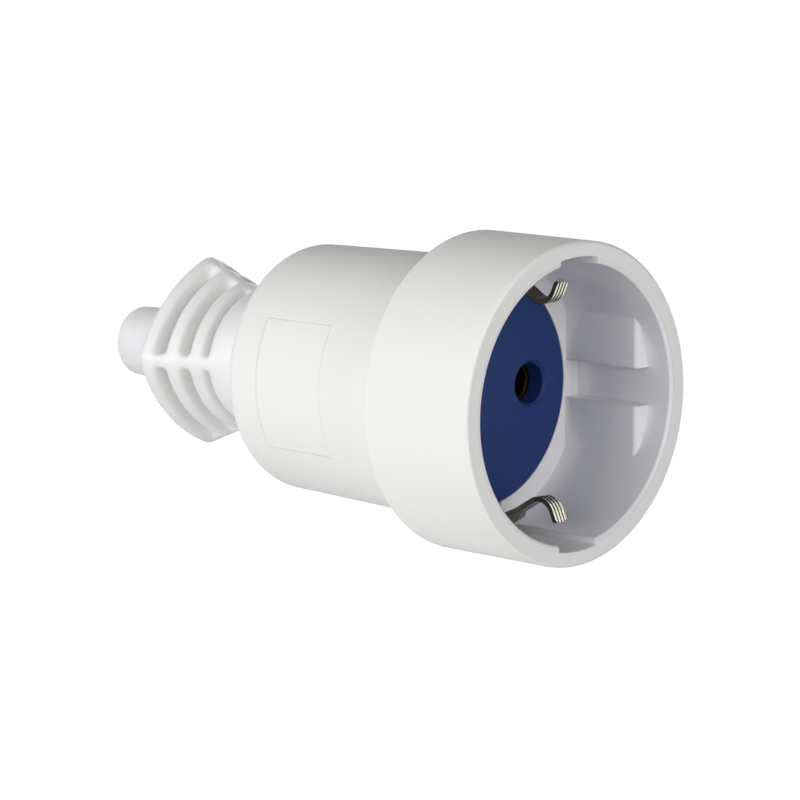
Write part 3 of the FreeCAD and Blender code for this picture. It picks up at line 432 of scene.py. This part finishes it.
# Each slot starts at its rear edge, and the rim strap is what lies behind the first one
SLOT_SIZES = {
    "Slots": 3,
    "Slot Width": 1.8 * MM,
    "Foremost Slot Width": 1.1 * MM,
    "Slot Pitch": 3.8 * MM,
    "Rim Strap": 1.8 * MM,
    "Rim Depth": RELIEF_RIM * MM,
    "Spine Thickness": 2.0 * MM,
    "Cut Reach": 30.0 * MM,
}
# Depth and radius of the flange in the housing, the neck, the sleeve in the flare, the nozzle
CORE = (
    (47.6, 11.5), (49.6, 11.5), (49.7, 9.2), (61.2, 9.2),
    (61.3, 6.0), (73.7, 6.3), (75.4, 5.7), (89.0, 5.2),
)
# Depth and radius of the funnel that leads the cord into its bore
PASSAGE = ((47.0, 7.2), (58.0, 4.1), (90.0, 4.1))
VOXEL = 0.28 * MM
SMOOTH_STEPS = 9
SMOOTH_SHARE = 0.5


def flare_reach(share, angle):
    """How far the flare's outline reaches from the axis: a bowed square with round corners."""
    opening = share**FLARE_POWER
    pairs = (CORNER_REACH, FLAT_REACH, CORNER_ROUND)
    corner, flat, corner_round = (low + (high - low) * opening for low, high in pairs)
    reach, rise = corner - corner_round, flat - corner_round
    shift = (reach**2 - rise**2) / (2 * rise - math.sqrt(2) * reach)
    side_radius = flat + shift
    quarter = math.pi / 4
    lean = shift / math.sqrt(2)
    to_corner = Vector((reach + lean, lean)).normalized() * side_radius
    meet = math.atan2(to_corner.y - lean, to_corner.x - lean)
    turned = abs((angle + quarter) % (2 * quarter) - quarter)
    if turned < meet:
        beside = reach * math.sin(turned)
        return reach * math.cos(turned) + math.sqrt(corner_round**2 - beside**2)
    along = -shift * math.cos(quarter - turned)
    return along + math.sqrt(side_radius**2 - shift**2 + along**2)


def solid_object(name, points, faces):
    """An object whose faces all look outward."""
    mesh = bpy.data.meshes.new(name)
    mesh.from_pydata(points, [], faces)
    closed = bmesh.new()
    closed.from_mesh(mesh)
    bmesh.ops.recalc_face_normals(closed, faces=closed.faces)
    closed.to_mesh(mesh)
    closed.free()
    thing = bpy.data.objects.new(name, mesh)
    bpy.context.scene.collection.objects.link(thing)
    return thing


def ring_solid(name, rings):
    """A closed solid through rings, each a depth and a radius for every angle."""
    angles = [2 * math.pi * count / RING_POINTS for count in range(RING_POINTS)]
    points, faces = [], []
    for depth, radius in rings:
        for angle in angles:
            far = radius(angle)
            points.append((-depth * MM, far * math.cos(angle) * MM, far * math.sin(angle) * MM))
    for ring in range(len(rings) - 1):
        for count in range(RING_POINTS):
            following = (count + 1) % RING_POINTS
            low, high = ring * RING_POINTS, (ring + 1) * RING_POINTS
            faces.append((low + count, low + following, high + following, high + count))
    faces.append(tuple(reversed(range(RING_POINTS))))
    faces.append(tuple(range((len(rings) - 1) * RING_POINTS, len(rings) * RING_POINTS)))
    return solid_object(name, points, faces)


def slot_tree(material):
    """Cuts the slots: a row of them along the axis, each made by blocks between the spines."""
    tree = bpy.data.node_groups.new("relief_slots", "GeometryNodeTree")
    socket = tree.interface.new_socket
    socket("Geometry", in_out="INPUT", socket_type="NodeSocketGeometry")
    for name, size in SLOT_SIZES.items():
        kind = "NodeSocketInt" if isinstance(size, int) else "NodeSocketFloat"
        socket(name, in_out="INPUT", socket_type=kind)
    socket("Geometry", in_out="OUTPUT", socket_type="NodeSocketGeometry")
    given = add(tree, "NodeGroupInput").outputs

    # One block, 1 m long so that the row can scale it, and off the axis by half a spine
    reach = given["Cut Reach"]
    spread = add(
        tree, "ShaderNodeMath", {0: reach, 1: given["Spine Thickness"]}, operation="ADD"
    )
    off_axis = add(tree, "ShaderNodeMath", {0: spread, 1: 0.5}, operation="MULTIPLY")
    size = add(tree, "ShaderNodeCombineXYZ", {0: 1.0, 1: reach, 2: reach})
    shift = add(tree, "ShaderNodeCombineXYZ", {0: 0.5, 1: off_axis, 2: off_axis})
    block = add(tree, "GeometryNodeMeshCube", {"Size": size})
    block = add(tree, "GeometryNodeTransform", {"Geometry": block, "Translation": shift})

    # One between each two spines, round the axis
    centres = add(tree, "GeometryNodeMeshLine", {"Count": SPINES, "Offset": (0, 0, 0)})
    count = add(tree, "GeometryNodeInputIndex")
    spacing = 2 * math.pi / SPINES
    angle = add(tree, "ShaderNodeMath", {0: count, 1: spacing}, operation="MULTIPLY")
    turn = add(tree, "ShaderNodeCombineXYZ", {0: angle})
    around = add(
        tree,
        "GeometryNodeInstanceOnPoints",
        {"Points": centres, "Instance": block, "Rotation": turn},
    )

    # A row from the rim to the neck, with the foremost slot narrower
    first = add(
        tree,
        "ShaderNodeMath",
        {0: given["Rim Strap"], 1: given["Rim Depth"]},
        operation="SUBTRACT",
    )
    start = add(tree, "ShaderNodeCombineXYZ", {0: first})
    step = add(tree, "ShaderNodeCombineXYZ", {0: given["Slot Pitch"]})
    row = add(
        tree,
        "GeometryNodeMeshLine",
        {"Count": given["Slots"], "Start Location": start, "Offset": step},
    )
    last = add(tree, "ShaderNodeMath", {0: given["Slots"], 1: 1.0}, operation="SUBTRACT")
    foremost = add(tree, "ShaderNodeMath", {0: count, 1: last}, operation="COMPARE")
    narrowing = add(
        tree,
        "ShaderNodeMath",
        {0: given["Foremost Slot Width"], 1: given["Slot Width"]},
        operation="SUBTRACT",
    )
    width = add(
        tree,
        "ShaderNodeMath",
        {0: foremost, 1: narrowing, 2: given["Slot Width"]},
        operation="MULTIPLY_ADD",
    )
    scale = add(tree, "ShaderNodeCombineXYZ", {0: width, 1: 1.0, 2: 1.0})
    slots = add(
        tree,
        "GeometryNodeInstanceOnPoints",
        {"Points": row, "Instance": around, "Scale": scale},
    )

    blocks = add(tree, "GeometryNodeRealizeInstances", {0: slots})
    cut = add(
        tree,
        "GeometryNodeMeshBoolean",
        {"Mesh 1": given["Geometry"], "Mesh 2": blocks},
        operation="DIFFERENCE",
    )
    whole = add(tree, "GeometryNodeRealizeInstances", {0: cut})
    coloured = add(tree, "GeometryNodeSetMaterial", {"Geometry": whole, "Material": material})
    add(tree, "NodeGroupOutput", {"Geometry": coloured})
    return tree


def cut_slots(flare, material):
    """Puts the slots' nodes on the flare, with each size set by its socket's identifier."""
    tree = slot_tree(material)
    step = flare.modifiers.new("slots", "NODES")
    step.node_group = tree
    for item in tree.interface.items_tree:
        if item.in_out == "INPUT" and item.name in SLOT_SIZES:
            step[item.identifier] = SLOT_SIZES[item.name]


def finished_mesh(rough, tools, name):
    """The mesh that a rough object's modifiers give, as a new object. The tools are removed."""
    graph = bpy.context.evaluated_depsgraph_get()
    mesh = bpy.data.meshes.new_from_object(rough.evaluated_get(graph))
    for used in (rough, *tools):
        bpy.data.objects.remove(used)
    mesh.name = name
    piece = bpy.data.objects.new(name, mesh)
    bpy.context.scene.collection.objects.link(piece)
    return piece


def make_bend_relief(material):
    """One soft moulding, so its solid is laid out in small even faces and smoothed."""
    flare_rings = []
    for count in range(FLARE_RINGS):
        share = count / (FLARE_RINGS - 1)
        depth = RELIEF_NECK + share * (RELIEF_RIM - RELIEF_NECK)
        flare_rings.append((depth, lambda angle, share=share: flare_reach(share, angle)))
    flare = ring_solid("flare", flare_rings)
    core, passage = (
        ring_solid(name, [(depth, lambda angle, radius=radius: radius) for depth, radius in rings])
        for name, rings in (("core", CORE), ("passage", PASSAGE))
    )
    cut_slots(flare, material)
    for tool, operation in ((core, "UNION"), (passage, "DIFFERENCE")):
        step = flare.modifiers.new(tool.name, "BOOLEAN")
        step.object = tool
        step.operation = operation
        step.solver = "EXACT"
    even = flare.modifiers.new("even", "REMESH")
    even.mode = "VOXEL"
    even.voxel_size = VOXEL
    soft = flare.modifiers.new("soft", "SMOOTH")
    soft.factor = SMOOTH_SHARE
    soft.iterations = SMOOTH_STEPS
    piece = finished_mesh(flare, (core, passage), "bend_relief_moulding")
    piece.data.materials.clear()
    piece.data.materials.append(material)
    piece.data.polygons.foreach_set("use_smooth", [True] * len(piece.data.polygons))
    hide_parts("bend_relief")
    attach(piece, "root")


# Label field. Its floor runs level with the axis, so that it comes out flush at the rear

# Place along the axis and radius of the floor's four corners, in millimetres
LABEL_SECTION = ((-32.2, 18.25), (-45.2, 18.079), (-45.2, 17.85), (-32.2, 18.2))
LABEL_HALF_ANGLE = math.radians(30.98)
LABEL_STEPS = 96


def make_label_floor(material):
    """A thin curved plate in the sunk field, on the side that the camera sees."""
    sides = len(LABEL_SECTION)
    points, faces = [], []
    for count in range(LABEL_STEPS + 1):
        angle = LABEL_HALF_ANGLE * (2 * count / LABEL_STEPS - 1)
        for x, radius in LABEL_SECTION:
            points.append((x * MM, -radius * math.cos(angle) * MM, radius * math.sin(angle) * MM))
    for count in range(LABEL_STEPS):
        low, high = count * sides, (count + 1) * sides
        for corner in range(sides):
            following = (corner + 1) % sides
            faces.append((low + corner, low + following, high + following, high + corner))
    faces.append(tuple(range(sides)))
    faces.append(tuple(LABEL_STEPS * sides + corner for corner in range(sides)))
    piece = solid_object("label_field_floor", points, faces)
    piece.data.materials.append(material)
    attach(piece, "root")


# Floor, world and lamps

FLOOR_SIDE = 8.0
# The floor shows white to the camera, but for the share that takes the object's shadow
FLOOR_WHITE = 1.21
WHITE_SHARE = 0.82
# What the lit paper gives back to the object's underside
TABLE_GLOW = 0.1
WORLD_LIGHT = 0.09

# Azimuth and elevation in degrees, and power in watts. Azimuth is counted as the camera's is:
# 0 faces the side with the label field, and 90 looks straight into the mouth
SOFTBOXES = {
    "key_left": (0, 4, 6.5),
    "front": (32, 8, 2.1),
    "rear_left": (-40, 14, 1.5),
    "high_left": (-12, 36, 0.8),
    "back": (210, 4, 2.0),
    "fill_right": (82, 12, 3.85),
}
SOFTBOX_DISTANCE = 1.0
SOFTBOX_SIDE = 0.6


def camera_or_mirror_ray(tree):
    """1 for rays that show the background, straight, by a reflection or through a clear piece."""
    path = add(tree, "ShaderNodeLightPath").outputs
    seen = add(
        tree,
        "ShaderNodeMath",
        {0: path["Is Camera Ray"], 1: path["Is Glossy Ray"]},
        operation="MAXIMUM",
    )
    return add(
        tree, "ShaderNodeMath", {0: seen, 1: path["Is Transmission Ray"]}, operation="MAXIMUM"
    )


def make_floor():
    """White paper under the object, which keeps its shadow."""
    lowest = CAD_BOX[0].z
    mesh = bpy.data.meshes.new("studio_floor")
    reach = FLOOR_SIDE / 2
    around = ((-reach, -reach), (reach, -reach), (reach, reach), (-reach, reach))
    mesh.from_pydata([(x, y, lowest) for x, y in around], [], [(0, 1, 2, 3)])
    floor = bpy.data.objects.new("studio_floor", mesh)
    bpy.context.scene.collection.objects.link(floor)
    material = bpy.data.materials.new("white_paper_sweep")
    material.use_nodes = True
    tree = material.node_tree
    tree.nodes.clear()
    paper = add(tree, "ShaderNodeBsdfDiffuse", {"Color": linear("EDEDED")})
    white = add(tree, "ShaderNodeEmission", {"Strength": FLOOR_WHITE})
    seen = add(
        tree,
        "ShaderNodeMath",
        {0: camera_or_mirror_ray(tree), 1: WHITE_SHARE},
        operation="MULTIPLY",
    )
    share = add(tree, "ShaderNodeMath", {0: seen, 1: TABLE_GLOW}, operation="MAXIMUM")
    both = add(tree, "ShaderNodeMixShader", {0: share, 1: paper, 2: white})
    add(tree, "ShaderNodeOutputMaterial", {"Surface": both})
    mesh.materials.append(material)


def make_world():
    """White where it is seen, and a faint even light on the object."""
    world = bpy.data.worlds.new("white_studio")
    world.use_nodes = True
    tree = world.node_tree
    tree.nodes.clear()
    light = add(
        tree, "ShaderNodeBackground", {"Color": (1, 1, 1, 1), "Strength": WORLD_LIGHT}
    )
    white = add(tree, "ShaderNodeBackground", {"Color": (1, 1, 1, 1), "Strength": 1.0})
    both = add(
        tree, "ShaderNodeMixShader", {0: camera_or_mirror_ray(tree), 1: light, 2: white}
    )
    add(tree, "ShaderNodeOutputWorld", {"Surface": both})
    bpy.context.scene.world = world


def make_softbox(name, azimuth, elevation, power):
    """A square lamp aimed at the middle of the object."""
    turn, rise = math.radians(azimuth), math.radians(elevation)
    across = math.cos(rise)
    away = Vector((math.sin(turn) * across, -math.cos(turn) * across, math.sin(rise)))
    data = bpy.data.lights.new(name, "AREA")
    data.size = SOFTBOX_SIDE
    data.energy = power
    lamp = bpy.data.objects.new(name, data)
    middle = (CAD_BOX[0] + CAD_BOX[1]) / 2
    lamp.location = middle + away * SOFTBOX_DISTANCE
    lamp.rotation_euler = away.to_track_quat("Z", "Y").to_euler()
    bpy.context.scene.collection.objects.link(lamp)


make_camera()
finishes = dress_nodes()
make_bend_relief(finishes["relief_white"])
make_label_floor(finishes["housing_white"])
make_floor()
make_world()
for softbox, setting in SOFTBOXES.items():
    make_softbox(softbox, *setting)

bpy.context.scene.view_settings.view_transform = "Standard"
